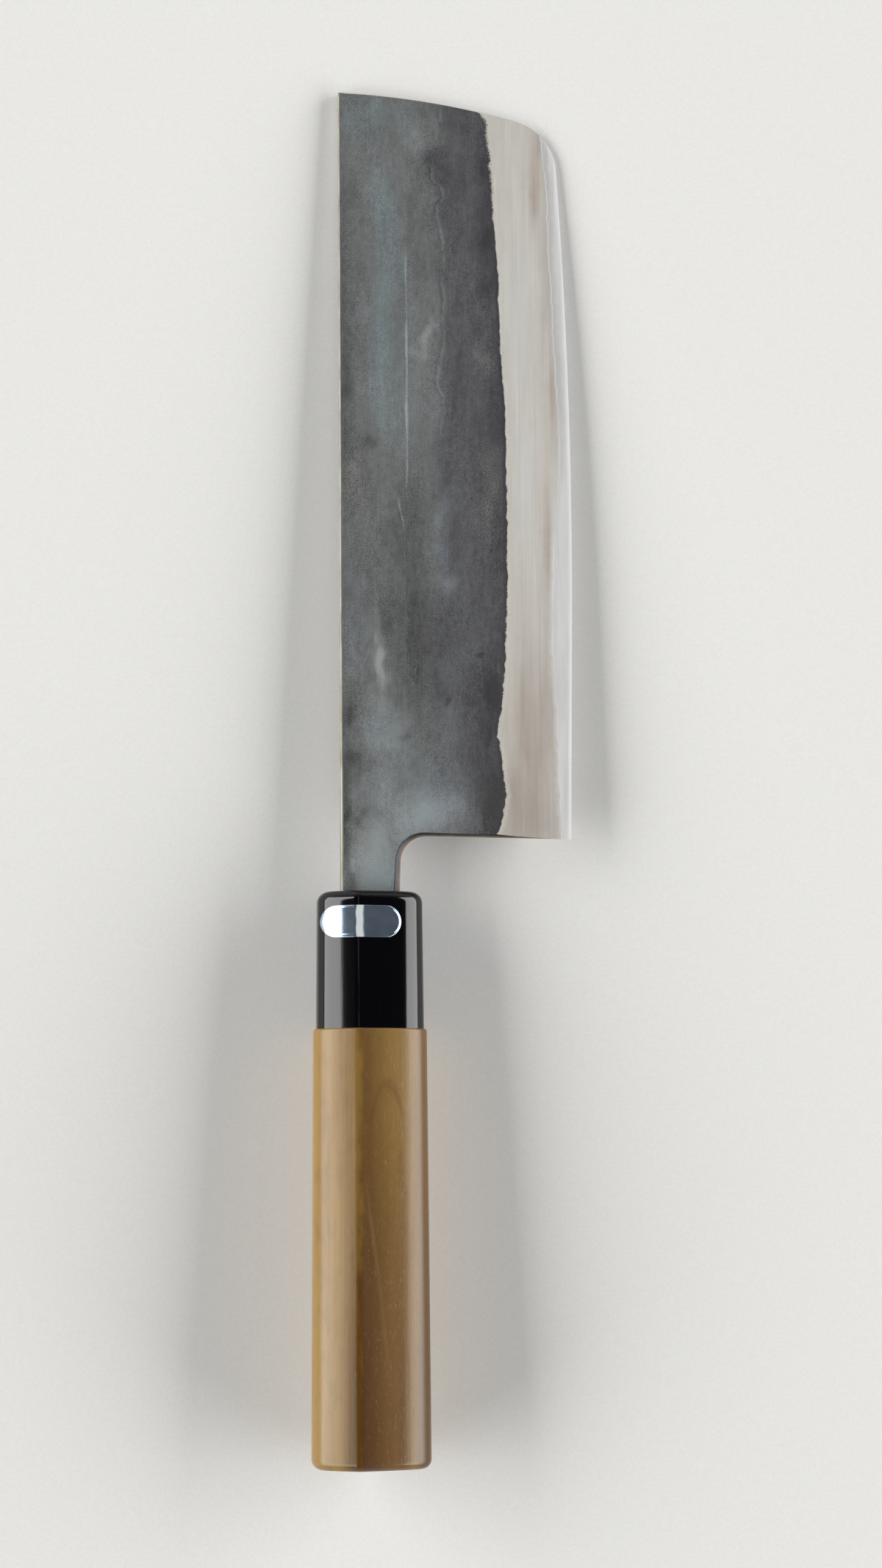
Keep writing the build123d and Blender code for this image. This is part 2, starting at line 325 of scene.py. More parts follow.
def blade_patch(w, spine_inset=0.0, tip_inset=0.0, corner_inset=0.0, heel_half=0.0):
    """Points at shares w across each blade row, by a Coons patch: straight rows from spine to edge, bent
    near the ends to follow the heel's line and the tip's arc. Each side may be drawn in by an inset."""
    v = blade_steps[:, None, None]
    w = w[..., None]
    along = heel_row_y + (tip_y - heel_row_y) * v
    inset = spine_inset * spine_easing(along)
    spine = np.concatenate([spine_x + inset, along], axis=-1)
    edge = (edge_points - edge_outward * np.reshape(corner_inset, (-1, 1)))[:, None]
    rows = spine * (1 - w) + edge * w
    heel_share = np.clip((w - choil_share) / (1 - choil_share), 0, 1)
    inset_heel = round_inset(np.reshape(heel_half, (1, -1, 1)) * (heel_share < 1))
    on_heel = choil_end + (heel - choil_end) * heel_share + turned(heel_line) * inset_heel
    to_choil = np.minimum(w / choil_share, 1)
    heel_side = np.where(w < choil_share, spine[:1] * (1 - to_choil) + on_heel * to_choil, on_heel)
    turn = angle_of(tip - tip_centre) * (1 - w) + corner_end * w
    radius = tip_curve_radius - np.reshape(tip_inset, (1, -1, 1))
    tip_side = tip_centre + radius * np.concatenate([np.cos(turn), np.sin(turn)], axis=-1)
    tip_side = tip_side + inset[-1] * (1 - w) * np.array([1.0, 0.0])
    heel_bend = heel_side - (spine[:1] * (1 - w) + edge[:1] * w)
    tip_bend = tip_side - (spine[-1:] * (1 - w) + edge[-1:] * w)
    return rows + heel_bend * (1 - v) ** heel_and_tip_power + tip_bend * v**heel_and_tip_power


def share_at(side, name):
    """Share across each blade row at which it crosses the bevel's or the core's line, by repeated tries."""
    share = np.full((blade_rows + 1, 1), first_share)
    for _ in range(share_tries):
        point = blade_patch(share)[:, 0]
        offset = line_x(side, name, point[:, 1]) - point[:, 0]
        share = share + (offset / (edge_points[:, 0] - spine_x))[:, None]
    return np.clip(share[:, 0], choil_share + least_gap_share, 1)


def row_shares(side):
    """Shares across every blade row, evenly spaced from each of the blade's lines to the next."""
    core = share_at(side, "core")
    reach = np.linalg.norm(edge_points - blade_patch(np.zeros((blade_rows + 1, 1)))[:, 0], axis=1)
    core = np.where(np.maximum.accumulate(core > 0.999), 1, core)
    sharp = np.maximum(core, 1 - sharpened_width / reach)
    bevel = np.minimum(share_at(side, "bevel"), core - least_gap_share)
    stops = [0 * core, 0 * core + choil_share, bevel, core, sharp, 0 * core + 1]
    parts = [
        first[:, None] + (second - first)[:, None] * np.arange(count) / count
        for first, second, count in zip(stops, stops[1:], column_counts)
    ]
    return np.concatenate([*parts, stops[-1][:, None]], axis=1), (1 - core) * reach, reach


shares, bare_strip, row_reach, core_half = {}, {}, {}, {}
for side in ("right", "left"):
    shares[side], bare_strip[side], row_reach[side] = row_shares(side)
    at_line = blade_patch(shares[side])[:, core_column]
    shown = bevel_height(side, at_line[:, 0], at_line[:, 1])
    last_bare = np.flatnonzero(bare_strip[side] > 0)[-1]
    shown[last_bare:] = shown[last_bare]
    tang_half = np.linspace(tang_core_half, shown[0], 2 + neck_rows)
    core_half[side] = np.concatenate([tang_half, shown])


def tip_share(w):
    """How much of the tip's easing each column takes: all of it, fading to a fifth at the corner."""
    return np.clip((1 - w[-1]) * corner_fade + corner_easing_share, 0, 1)


def sheet(w, ring, heel_half, neck_half, eased, corner_inset):
    """All points of one layer's surface at one of the rings that lead from its top to its underside.
    Rows of the neck end on its side; those of the tang are only straight runs."""
    open_share = 1 - math.sin(ring_turns[ring])
    tips = tip_easing * open_share * eased * tip_share(w)
    blade = blade_patch(w, open_share * eased, tips, corner_inset * open_share * eased, heel_half)
    along = shoulder_y + (heel_row_y - shoulder_y) * neck_steps[:, None]
    start = np.concatenate([spine_x + spine_easing(along) * open_share * eased, along], axis=1)
    worn = np.interp(neck_steps, neck_wear_shares, neck_wear)
    end = neck_points - neck_outward * (round_inset(neck_half) * worn)[:, None]
    end[-1] = blade[0, choil_column]
    to_side = np.minimum(w[:1] / choil_share, 1)[..., None]
    neck = start[:, None] * (1 - to_side) + end[:, None] * to_side
    tang_ys = (tang_end_y, shoulder_y - shoulder_gap)
    tang = [
        np.stack([half * (2 * to_side[0, :, 0] - 1), np.full(edge_column + 1, y)], axis=-1)
        for half, y in zip(tang_half_widths, tang_ys)
    ]
    return np.concatenate([np.array(tang), neck[:-1], blade])


def edge_path(columns):
    """Row and column numbers round the edge of a layer: spine, tip, its last column, heel, neck, tang."""
    rows = np.arange(last_row + 1)
    path = [(row, 0) for row in rows]
    path += [(last_row, column) for column in range(1, columns + 1)]
    path += [(row, columns) for row in rows[heel_row:last_row][::-1]]
    path += [(heel_row, column) for column in range(columns - 1, choil_column - 1, -1)]
    path += [(row, choil_column) for row in rows[:heel_row][::-1]]
    path += [(0, column) for column in range(choil_column - 1, 0, -1)]
    return np.array(path)


def layer_mesh(top, rings_xyz, bottom, columns):
    """Joins a top and a bottom sheet by rings round their edge: grid quads, and quads from ring to ring."""
    rows, wide = top.shape[:2]
    path = edge_path(columns)
    number = np.arange(rows * wide).reshape(rows, wide)
    cells = np.stack([number[:-1, :-1], number[:-1, 1:], number[1:, 1:], number[1:, :-1]], axis=-1)
    keep = np.zeros((rows - 1, wide - 1), bool)
    keep[:heel_row, :choil_column] = True
    keep[heel_row:, :columns] = True
    cells = cells[keep]
    points = [top.reshape(-1, 3), bottom.reshape(-1, 3)]
    loops = [number[path[:, 0], path[:, 1]]]
    offset = 2 * rows * wide
    for ring in rings_xyz:
        points.append(ring[path[:, 0], path[:, 1]])
        loops.append(offset + np.arange(len(path)))
        offset += len(path)
    loops.append(loops[0] + rows * wide)
    walls = [
        np.stack([a, np.roll(a, -1), np.roll(b, -1), b], axis=-1) for a, b in zip(loops, loops[1:])
    ]
    faces = np.concatenate([cells, cells[:, ::-1] + rows * wide, *walls])
    kinds = np.concatenate([np.zeros(len(cells), int), np.ones(len(faces) - len(cells), int)])
    return np.concatenate(points), faces, kinds


def make_piece(name, points, faces, finishes, node, kinds=None, crease=40):
    """Makes a piece: points in millimetres about the mouth, doubles merged, faces turned outwards."""
    mesh = bpy.data.meshes.new(name)
    mesh.from_pydata(points * mm + mouth, [], faces.tolist())
    if kinds is not None:
        mesh.polygons.foreach_set("material_index", kinds.astype(np.int32))
    shape = bmesh.new()
    shape.from_mesh(mesh)
    bmesh.ops.remove_doubles(shape, verts=shape.verts, dist=merge_distance * mm)
    loose = [v for v in shape.verts if not v.link_faces]
    bmesh.ops.delete(shape, geom=loose, context="VERTS")
    bmesh.ops.recalc_face_normals(shape, faces=shape.faces)
    shape.to_mesh(mesh)
    shape.free()
    mesh.shade_smooth()
    mesh.set_sharp_from_angle(angle=math.radians(crease))
    for finish in finishes:
        mesh.materials.append(finish)
    piece = bpy.data.objects.new(name, mesh)
    bpy.context.scene.collection.objects.link(piece)
    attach(piece, "root")
    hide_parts(node)
    return piece


def mesh_points(mesh):
    """A mesh's points, back in millimetres about the mouth."""
    flat = np.empty(len(mesh.vertices) * 3, np.float32)
    mesh.vertices.foreach_get("co", flat)
    return (flat.reshape(-1, 3).astype(float) - mouth) / mm


def add_measures(piece, name, *values):
    """Stores up to three numbers per point on a piece, as one vector, for its finish to read."""
    vectors = np.zeros((len(values[0]), 3), np.float32)
    for index, value in enumerate(values):
        vectors[:, index] = value
    attribute = piece.data.attributes.new(name, "FLOAT_VECTOR", "POINT")
    attribute.data.foreach_set("vector", vectors.ravel())


def bare_height(side, xy, w):
    """Half thickness where the core shows: the bevel's slope, dropped along the sharpened edge."""
    reach = np.concatenate([np.full(heel_row, 1.0), row_reach[side]])[:, None]
    strip = np.concatenate([np.zeros(heel_row), bare_strip[side]])[:, None]
    to_edge = (1 - w) * reach
    drop = sharpened_drop * np.clip(1 - to_edge / sharpened_width, 0, 1)
    drop *= np.clip(strip / sharpened_width, 0, 1)
    return bevel_height(side, xy[..., 0], xy[..., 1]) - drop


def whole_rows(w):
    """Shares for every row of the knife: those of the neck and tang repeat the heel row's."""
    return np.concatenate([np.repeat(w[:1], heel_row, axis=0), w])


def core_sheet(side):
    w = shares[side]
    half = core_half[side][:, None]
    heights = (half[heel_row] + np.zeros(edge_column + 1), half[2:heel_row + 1, 0])
    xy = sheet(w, 0, *heights, 0.0, 0.0)
    full = whole_rows(w)
    shows = full >= full[:, core_column:core_column + 1]
    top = np.where(shows, np.minimum(half, bare_height(side, xy, full)), half)
    top[:heel_row] = half[:heel_row]
    return xy, top


def raised(xy, heights):
    """Points of a sheet with their heights as Z."""
    return np.concatenate([xy, heights[..., None]], axis=-1)


(right_xy, right_top), (left_xy, left_top) = core_sheet("right"), core_sheet("left")
core_rings = []
for share in (0.25, 0.5, 0.75):
    middle = shares["right"] * (1 - share) + shares["left"] * share
    level = right_top * (1 - share) - left_top * share
    xy = sheet(middle, 0, np.abs(level[heel_row]), np.abs(level[2:heel_row + 1, choil_column]), 0.0, 0.0)
    core_rings.append(raised(xy, level))


class Field:
    """One value, colour or vector of a finish. Sums and products of fields add the nodes they need."""

    def __init__(self, tree, socket=None):
        self.tree = tree
        self.socket = socket

    def node(self, kind, settings, inputs, output=0):
        """Adds a node: its settings are set first, then each socket gets a value or a link."""
        made = self.tree.nodes.new(kind)
        for name, value in settings.items():
            setattr(made, name, value)
        for name, value in inputs.items():
            if isinstance(value, Field):
                self.tree.links.new(value.socket, made.inputs[name])
            else:
                made.inputs[name].default_value = value
        return Field(self.tree, made.outputs[output] if made.outputs else None)

    def math(self, operation, *values):
        return self.node("ShaderNodeMath", {"operation": operation}, dict(enumerate(values)))

    def __add__(self, other):
        return self.math("ADD", self, other)

    def __radd__(self, other):
        return self.math("ADD", other, self)

    def __sub__(self, other):
        return self.math("SUBTRACT", self, other)

    def __rsub__(self, other):
        return self.math("SUBTRACT", other, self)

    def __mul__(self, other):
        return self.math("MULTIPLY", self, other)

    def __truediv__(self, other):
        return self.math("DIVIDE", self, other)

    def __pow__(self, other):
        return self.math("POWER", self, other)

    def size(self):
        return self.math("ABSOLUTE", self)

    def clipped(self):
        """The value kept between 0 and 1."""
        return self.math("MINIMUM", self.math("MAXIMUM", self, 0.0), 1.0)

    def rise(self, low, high):
        """A smooth step from 0 at low to 1 at high."""
        inputs = {"Value": self, "From Min": low, "From Max": high}
        return self.node("ShaderNodeMapRange", {"interpolation_type": "SMOOTHSTEP"}, inputs)

    def axis(self, index):
        """One coordinate of a vector."""
        return self.node("ShaderNodeSeparateXYZ", {}, {0: self}, index)

    def axes(self):
        """All three coordinates of a vector."""
        return [self.axis(index) for index in range(3)]

    def scaled(self, scale, shift):
        """A vector times a scale, plus a shift."""
        return self.node("ShaderNodeVectorMath", {"operation": "MULTIPLY_ADD"}, {0: self, 1: scale, 2: shift})

    def lumps(self, sizes, seed, detail=2.0, roughness=0.5):
        """Noise about 0.5 whose lumps have the given sizes in millimetres along X, Y and Z."""
        place = self.scaled([1 / size for size in sizes], (seed * 7.31, seed * 3.17, seed * 5.73))
        inputs = {"Vector": place, "Scale": 1.0, "Detail": detail, "Roughness": roughness}
        return self.node("ShaderNodeTexNoise", {}, inputs)

    def tint(self, below, above):
        """A colour between two, by this field's share."""
        return self.node("ShaderNodeMix", {"data_type": "RGBA"}, {0: self, 6: below, 7: above}, 2)

    def under(self, *coats):
        """This colour with coats laid over it, one after another: each a share and its own colour."""
        colour = self
        for share, shade in coats:
            colour = share.tint(colour, shade)
        return colour


def chart(red, green, blue):
    """A colour given as on a colour chart, from 0 to 255, turned to linear light."""
    levels = [value / 255 for value in (red, green, blue)]
    linear = [x / 12.92 if x <= 0.04045 else ((x + 0.055) / 1.055) ** 2.4 for x in levels]
    return (*linear, 1.0)


def start_finish(name):
    """A new material, and the point being shaded, in millimetres about the mouth."""
    material = bpy.data.materials.new(name)
    material.use_nodes = True
    material.node_tree.nodes.clear()
    place = Field(material.node_tree).node("ShaderNodeTexCoord", {}, {}, 3)
    return material, place.scaled((1 / mm,) * 3, tuple(-mouth / mm))


def measures(point, name, count=3):
    """The numbers that a piece stores under a name."""
    return point.node("ShaderNodeAttribute", {"attribute_name": name}, {}, 1).axes()[:count]


def end_finish(material, height, colour, roughness, metallic, **constants):
    """Closes a finish with one shader; the relief's height is in millimetres."""
    canvas = Field(material.node_tree)
    relief = canvas.node("ShaderNodeBump", {}, {"Height": height, "Distance": mm})
    inputs = {"Base Color": colour, "Roughness": roughness, "Metallic": metallic, "Normal": relief}
    inputs.update({name.replace("_", " "): value for name, value in constants.items()})
    shader = canvas.node("ShaderNodeBsdfPrincipled", {}, inputs)
    canvas.node("ShaderNodeOutputMaterial", {}, {"Surface": shader})
    return material


def core_steel_finish():
    """Hard steel off the finishing stone: nearly white, hazy beside the weld, with fine lines along
    the edge."""
    material, point = start_finish("hard_steel")
    from_weld, to_edge = measures(point, "strip", 2)
    lines_along = point.lumps((0.2, 30, 0.5), 1, 3.0, 0.6)
    haze = point.lumps((1.2, 16, 2.0), 2, 3.0)
    wave = from_weld + (haze - 0.5) * 0.9
    hazy = wave.rise(0.1, 0.3) * (1 - wave.rise(0.6, 1.9)) * point.axis(1).rise(80, 110)
    bright = 1 - (wave - 0.12).size().rise(0.05, 0.22)
    colour = haze.rise(0.3, 0.7).tint(chart(220, 219, 218), chart(232, 231, 228)).under(
        (hazy * 0.6, chart(190, 188, 184)),
        (bright * haze.rise(0.35, 0.6) * 0.5, chart(250, 249, 245)),
        # Whiter within a quarter to half a millimetre of the edge: a painted highlight along the sharpened
        # edge.
        (1 - to_edge.rise(0.25, 0.5), chart(240, 241, 242)),
    )
    rough = 0.36 + (lines_along - 0.5) * 0.2
    return end_finish(material, lines_along * 0.004, colour, rough, 0.3)


core_right, core_left = raised(right_xy, right_top), raised(left_xy, -left_top)
points, faces, _ = layer_mesh(core_right, core_rings, core_left, edge_column)
core = make_piece(
    "core_steel_strip", points, faces, [core_steel_finish()], "core_steel", crease=4
)
x, y, z = mesh_points(core.data).T
weld = np.where(z > 0, line_x("right", "core", y), line_x("left", "core", y))
add_measures(core, "strip", x - weld, edge_x(y) - x)


# Claddings: two skins of soft iron, one on each side of the core. Their faces keep the dark scale of
# the forge, with speckle, wiped patches and scratches; below the wandering line of the bevel they
# are ground bright. Spine, tip, heel and neck are filed clean and their corners eased.
corner_run = 7
most_easing_share = 0.8
rounding_slack = 1e-9


def cladding_points(side):
    """Top sheet, rings and underside of one cladding, above the middle plane."""
    w = shares[side]
    half = core_half[side][:, None] + np.zeros(edge_column + 1)
    covered = np.concatenate([[0.0], np.diff((bare_strip[side] <= 0).astype(float))]).cumsum()
    window = np.ones(corner_run) / corner_run
    corner = tip_easing * np.clip(np.convolve(covered, window, mode="same"), 0, 1) * covered
    heel_top = face_height(side, *blade_patch(w)[0].T)
    neck_top = face_height(side, *neck_points.T)
    sheets = []
    for ring, depth in enumerate(ring_shares):
        heel_half = heel_top * (1 - depth) + half[heel_row] * depth
        neck_half = neck_top * (1 - depth) + half[2:heel_row + 1, 0] * depth
        sheets.append(sheet(w, ring, heel_half, neck_half, 1.0, corner))
    full = whole_rows(w)
    top = face_height(side, sheets[0][..., 0], sheets[0][..., 1])
    top[:2] = np.array(tang_half_thicknesses)[:, None]
    bare = full >= full[:, core_column:core_column + 1] - rounding_slack
    cover = np.concatenate([np.zeros(heel_row), covered])[:, None]
    top = np.maximum(np.where(bare, half + (top - half) * cover, top), half)
    radius = np.zeros_like(top)
    radius[2:, 0] = spine_easing(sheets[0][2:, 0, 1])
    radius[-1] = tip_easing * tip_share(w)
    radius[heel_row:, core_column] = np.maximum(radius[heel_row:, core_column], corner)
    radius = np.minimum(radius, (top - half) * most_easing_share)
    levels = []
    for xy, depth, turn in zip(sheets, ring_shares, ring_turns):
        wall = top * (1 - depth) + half * depth
        eased = top - radius * (1 - math.cos(turn))
        levels.append(raised(xy, np.where(radius > 0, eased, wall) if depth < 1 else half))
    return levels


# A stepped contour runs down each face where the scale changes, and a long scratch beside it, with
# its half width. Soft patches vary the faces: centre, reach in X and Y, lightness, blueness, warmth.
# Those of the hidden side are drawn at random.
contour = np.array([
    (0, 12), (40, 13), (52, 14), (69.2, 15.4), (72.4, 15.6), (76.1, 14.8), (80.2, 15.8), (83.8, 15.2),
    (86.3, 14.4), (90.3, 15.4), (94.4, 15.0), (98.4, 14.8), (102, 15.8), (105.4, 16.6), (108.6, 16.2),
    (111, 14.8), (115, 15.4), (118.8, 16.2), (122, 16.6), (126, 16.4), (130, 16.6), (134, 16.0),
    (140, 16.6), (145.6, 16.0), (148.8, 15.0), (151.3, 15.2), (152.9, 16.6), (154.9, 16.4), (157, 14.2),
    (159.8, 14.0), (161.8, 12.4), (163, 12.8), (165, 16.4), (168, 16.8), (171, 16.0), (178, 15.5),
])
scratch = np.array([
    (78.5, 7.9, 0), (80, 7.7, 0.12), (82, 7.3, 0.18), (84, 6.8, 0.2), (85.8, 6.6, 0.1), (86.2, 8.3, 0),
    (89, 8.4, 0.1), (92, 8.5, 0.22), (98, 8.6, 0.18), (103, 8.5, 0.36), (106, 8.4, 0.45),
    (109, 8.5, 0.24), (115, 8.6, 0.2), (118, 8.5, 0.36), (123, 8.5, 0.33), (126, 8.6, 0.12),
    (132, 8.5, 0.09), (135, 8.4, 0.24), (139, 8.4, 0.2), (141, 8.4, 0),
])
patches = {"right": np.array([
    (0.5, 170, 6.5, 5.5, 0.25, 0.8, 0), (3.6, 151, 3, 7, 0.3, 0.8, 0), (3.6, 137, 4, 9, 0.35, 0.9, 0),
    (3.5, 121, 4.5, 8, 0.35, 0.9, 0), (4.5, 106, 5, 9, 0.35, 0.7, 0), (9.8, 166, 3, 5, 0.4, 0.4, 0),
    (13.4, 122.5, 0.8, 3.6, 0.7, 0.1, 0), (11.5, 118.6, 2.6, 0.8, 0.4, 0.1, 0),
    (13, 112, 4, 14, 0.2, 0.2, 0), (14, 157, 3, 7, -0.3, 0, 0), (15.8, 83, 1.5, 3, 0.35, 0.7, 0),
    (16, 75, 1.5, 5, 0.4, 0.8, 0), (16.8, 67.6, 2.6, 1.8, 0.55, 0.6, 0),
    (-0.2, 97.4, 1.6, 1.6, -0.5, 0, 0), (2.1, 49.5, 0.95, 5.5, 1.6, 0.2, 0),
    (2, 60, 1.2, 6, 0.3, 0.2, 0), (2, 36, 6, 5, 0.55, 0.7, 0), (5, 31.5, 4, 1.2, 0.3, 0.4, 0),
    (12.5, 16.5, 9, 5, 1.0, 0.6, 0), (0, 5, 5, 9, 1.05, 0.4, 0), (4.5, 2.5, 3.5, 8, 0.55, 0.6, 0),
    (15.5, 26, 6, 9, 0.35, 0.7, 0), (3, 24, 5, 6, 0.5, 0.5, 0), (-4.8, 140, 1.3, 14, -0.25, 0, 0),
    (-4.8, 108, 1.6, 16, -0.5, 0, 0), (-4.4, 38.5, 1.6, 3, -0.7, 0, 0),
    (-5.4, 33.6, 0.5, 0.7, -1.2, 0, 0), (-3.4, 28, 1.3, 4, -0.6, 0, 0), (-5, 14, 0.9, 13, -0.8, 0, 0),
    (-0.5, 16.7, 2.6, 1.8, -0.5, 0, 0), (9.5, 57, 4.5, 13, -0.45, -0.2, 0),
    (8.5, 77, 4, 10, -0.3, -0.1, 0), (13, 50, 4, 12, -0.25, 0, 0), (10.5, 27, 2, 3, -0.3, 0, 0),
    (7.5, 34, 1, 1, -0.4, 0, 0), (17.8, 41, 0.9, 1.4, -0.5, 0, 0), (16.6, 39, 0.5, 0.7, -0.5, 0, 0),
    (-3, 62, 2.5, 14, 0.2, 0.5, 0), (25.6, 158.5, 1, 3, -0.5, 0, 0), (26, 146, 1, 4, -0.4, 0, 0),
    (27, 43, 1, 3, -0.6, 0, 0), (26, 35, 0.7, 2, -0.5, 0, 0), (24, 52.5, 0.7, 0.7, -0.6, 0, 0),
    (26, 20, 3, 6, -0.3, 0, 0), (24, 38, 4, 16, -0.35, 0, 0), (26.6, 117, 1.6, 3, 0.2, 0, 1),
    (27, 85, 1.4, 8, 0.1, 0, 1), (25.6, 94, 2, 4, 0.05, 0, 0.8), (1.5, 158, 5, 5, 0.25, 0.3, 0),
    (-3.5, 90, 2, 7, 0.1, 0, 0.8), (-1.7, 110, 0.4, 4, 0.15, 0, 0.3), (37, 160, 1.2, 10, -0.3, 0, 0.7),
    (38, 165, 0.8, 4, -0.3, 0, 0.5), (36.6, 152, 0.8, 5, -0.3, 0, 0.5),
    (39.4, 137, 1.1, 13, -0.3, 0, 0.1), (40.4, 108, 0.8, 8, -0.35, 0, 0.8),
    (39.4, 77, 0.9, 14, -0.35, 0, 0.7), (33, 128, 2.6, 16, 0.2, 0.6, 0),
    (34.5, 90, 2.2, 14, 0.25, 0.6, 0), (36, 35, 7, 20, -0.6, 0, 0.35), (34, 14, 8, 9, -0.6, 0, 0.3),
    (33.5, 43, 0.7, 7, -0.15, 0, 0.4), (34, 31, 1.2, 5, -0.1, 0, 0.4), (32, 22, 2, 6, -0.2, 0, 0.1),
])}
scratch_trim = 0.03
hidden_sway = 1.1
hidden_sway_lengths = (9, 17, 41)
hidden_ranges = ((-5, 42), (0, 174), (1.2, 5), (4, 14), (-0.5, 0.6), (-0.2, 0.9), (-0.5, 0.8))
hidden_count = 44
draw = np.random.default_rng(77)
patches["left"] = np.stack([draw.uniform(low, high, hidden_count) for low, high in hidden_ranges], axis=-1)


def patina(side, x, y):
    """Lightness, blueness and warmth at points: every patch's amounts, each falling off as exp(-d^2) in its
    own reach, where the points are first pushed about by lumps so that no patch stays an ellipse."""
    seed = 81 if side == "right" else 91
    push = 1.3 * lump_field(x, y, (4, 7), seed) + 0.8 * lump_field(x, y, (1.7, 2.9), seed + 1)
    slide = 2.0 * lump_field(x, y, (3, 8), seed + 2) + 0.8 * lump_field(x, y, (1.3, 1.9), seed + 3)
    on_face = np.clip((line_x(side, "bevel", y) - x) / 1.5, 0.25, 1)
    near = patches[side]
    across = (x + push * on_face)[:, None] - near[:, 0]
    along = (y + slide)[:, None] - near[:, 1]
    return np.exp(-((across / near[:, 2]) ** 2) - (along / near[:, 3]) ** 2) @ near[:, 4:]


def mark_sharp(mesh, side):
    """Keeps the bevel's line crisp: an edge is sharp where both its ends lie on the line."""
    x, y, _ = mesh_points(mesh).T
    on_line = (np.abs(x - line_x(side, "bevel", y)) < 0.03) & (y > heel_y)
    pairs = np.empty(len(mesh.edges) * 2, np.int32)
    mesh.edges.foreach_get("vertices", pairs)
    sharp = np.empty(len(mesh.edges), bool)
    mesh.edges.foreach_get("use_edge_sharp", sharp)
    mesh.edges.foreach_set("use_edge_sharp", sharp | on_line[pairs.reshape(-1, 2)].all(axis=1))


def forged_finish(side):
    """Forge scale over the flats, and below the bevel's line the brushed iron: one finish, parted by
    the stored distance from that line, with specks of each straying into the other."""
    material, point = start_finish(f"forged_iron_{side}")
    from_bevel, from_core = measures(point, "ground", 2)
    from_contour, from_scratch, scratch_half = measures(point, "marks")
    light, blue, warm = measures(point, "patina")
    seed = 3 if side == "right" else 9
    along = point.axis(1)
    cloud = point.lumps((4, 10, 4), seed, 4.0, 0.6) - 0.5
    mottle = point.lumps((1.1, 1.8, 1.1), seed + 1, 3.0, 0.65) - 0.5
    grain = point.lumps((0.17, 0.18, 0.18), seed + 2, 2.0, 0.75)
    hairs = point.lumps((0.16, 9, 0.5), seed + 3, 3.0, 0.65) - 0.5

    upper = along.rise(52, 74)
    contour_at = from_contour + mottle * 0.9
    crisp = contour_at.rise(-0.2, 0.4)
    step = contour_at.rise(-2.4, 3) * 0.55 + crisp * upper * 0.45
    patchy = cloud.rise(-0.14, 0.08) * (along.rise(92, 112) * 0.8 + along.rise(64, 76) * 0.2)
    # Along the contour, in patches: a dark groove of painted shade below the step and a light rim of painted
    # highlight above it.
    groove_shadow = (1 - (contour_at + 0.3).size().rise(0.1, 0.45)) * patchy
    rim = crisp * (1 - contour_at.rise(0.35, 1.0)) * patchy
    shade = light + cloud * 0.9 + mottle * 0.75 + (grain - 0.5) * 2.2 + hairs * 0.6
    shade = shade - step * 0.34 - groove_shadow * 0.27 + rim * 0.38
    shade = shade - from_bevel.rise(-7, -1) * 0.24 - (from_bevel + mottle).rise(-1.1, 0) * 0.35
    level = (shade * 0.5 + 0.455).clipped() ** 1.25
    speckled = 0.14 + (1 - point.axis(0).rise(-5, 4)) * 0.25 + (mottle - cloud).rise(-0.05, 0.25) * 0.4
    worn = (grain.rise(0.5, 0.62) * warm).clipped()
    ragged = from_scratch.size() + (grain - 0.5) * 1.5 + mottle.size() * 0.9
    scratched = 1 - ragged.rise(scratch_half - 0.12, scratch_half + 0.04)
    scale = level.tint(chart(56, 55, 56), chart(150, 153, 152)).under(
        ((blue + cloud).rise(0.0, 1.3), level.tint(chart(52, 58, 60), chart(142, 155, 158))),
        (step * 0.5, level.tint(chart(56, 55, 60), chart(142, 142, 151))),
        ((1 - grain).rise(0.54, 0.64) * speckled, chart(44, 43, 44)),
        (worn * 0.6, chart(150, 142, 132)),
        (scratched * 0.6, chart(166, 179, 183)),
    )

    streaks = point.lumps((0.3, 34, 0.6), seed + 4, 4.0, 0.6) - 0.5
    haze = point.lumps((2.4, 26, 3.0), seed + 5, 3.0) - 0.5
    level = 0.7 + light * 0.6 + haze * 0.4 + streaks * 0.35 + cloud * 0.25 + mottle * 0.14
    level = level.clipped()
    rough_band = 1 - (from_bevel + mottle * 1.6).rise(0.5, 1.3)
    above = along.rise(85, 110)
    iron = level.tint(chart(177, 170, 160), chart(240, 236, 227)).under(
        ((warm * 0.8).clipped(), level.tint(chart(170, 150, 138), chart(224, 206, 194))),
        ((blue * 0.5).clipped(), chart(228, 231, 233)),
        (rough_band * 0.42, grain.rise(0.44, 0.64).tint(chart(246, 242, 233), chart(196, 190, 180))),
        (from_core.rise(-1.6, 0) * above * 0.3, chart(190, 187, 180)),
        ((from_core + mottle).rise(-0.9, 0) * (1 - above) * 0.8, chart(228, 227, 224)),
    )

    cross_hairs = point.lumps((3.0, 0.22, 2.0), seed + 6, 3.0, 0.6) - 0.5
    calm = 1 - along.rise(84, 104) * 0.65
    near_tip = along.rise(144, 160)
    stray = (grain - 0.5) * (near_tip * 2.2 + 0.8) + mottle * (calm + near_tip * 0.5) * 0.9
    ground = (from_bevel + stray + cross_hairs * near_tip * 0.5).rise(-0.1, 0.1)
    colour = ground.tint(scale, iron)
    roughness = 0.56 - ground * 0.12 + (streaks + hairs) * 0.12
    metallic = 0.25 + ground * 0.2
    height = (grain * 0.008 + mottle * 0.02 + cloud * 0.03) * (1 - ground) + streaks * 0.005 * ground
    return end_finish(material, height, colour, roughness, metallic)


